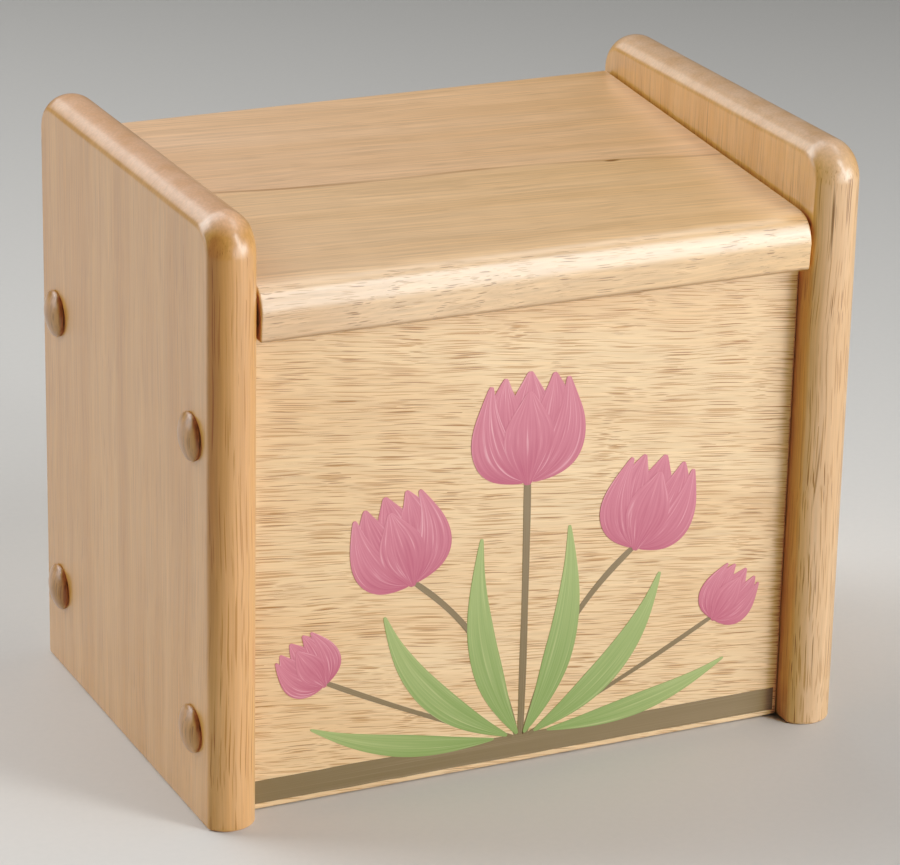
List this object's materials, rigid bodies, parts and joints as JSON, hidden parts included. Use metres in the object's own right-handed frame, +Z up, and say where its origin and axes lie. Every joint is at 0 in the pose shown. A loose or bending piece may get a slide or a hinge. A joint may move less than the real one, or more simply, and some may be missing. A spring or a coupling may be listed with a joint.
{
  "type": "recipe box",
  "caption": "Wooden recipe box with round-edged sides, set-back front and back panels, and a sloping lid that lifts at its front lip and turns on hidden pins.",
  "frame": {"origin": "on the ground under the middle of the box, level with the bottoms of the sides", "axes": "+X to the box's right as seen from the front, +Y to the rear, where the lid's pivot is, +Z up"},
  "size_m": [0.193, 0.131, 0.168],
  "materials": {
    "side_wood": "clear satin lacquer",
    "panel_wood": "clear satin lacquer",
    "lid_wood": "clear satin lacquer",
    "plug_wood": "clear satin lacquer on end grain",
    "plywood": "sanded, unfinished",
    "steel": "zinc plated"
  },
  "bodies": {
    "case": {"left_side": "side_wood", "right_side": "side_wood", "front_panel": "panel_wood", "back_panel": "panel_wood", "floor_panel": "plywood", "screw_left_front_low": "steel", "screw_left_front_high": "steel", "screw_left_rear_low": "steel", "screw_left_rear_high": "steel", "screw_right_front_low": "steel", "screw_right_front_high": "steel", "screw_right_rear_low": "steel", "screw_right_rear_high": "steel", "plug_left_front_low": "plug_wood", "plug_left_front_high": "plug_wood", "plug_left_rear_low": "plug_wood", "plug_left_rear_high": "plug_wood", "plug_right_front_low": "plug_wood", "plug_right_front_high": "plug_wood", "plug_right_rear_low": "plug_wood", "plug_right_rear_high": "plug_wood"},
    "lid": {"lid_board": "lid_wood", "left_lid_pin": "steel", "right_lid_pin": "steel"}
  },
  "joints": [
    {"name": "lid_hinge", "type": "hinge", "parent": "case", "child": "lid", "pos_m": [0, 0.0544, 0.15015], "axis": [-1, 0, 0], "range_deg": [0, 105]}
  ]
}
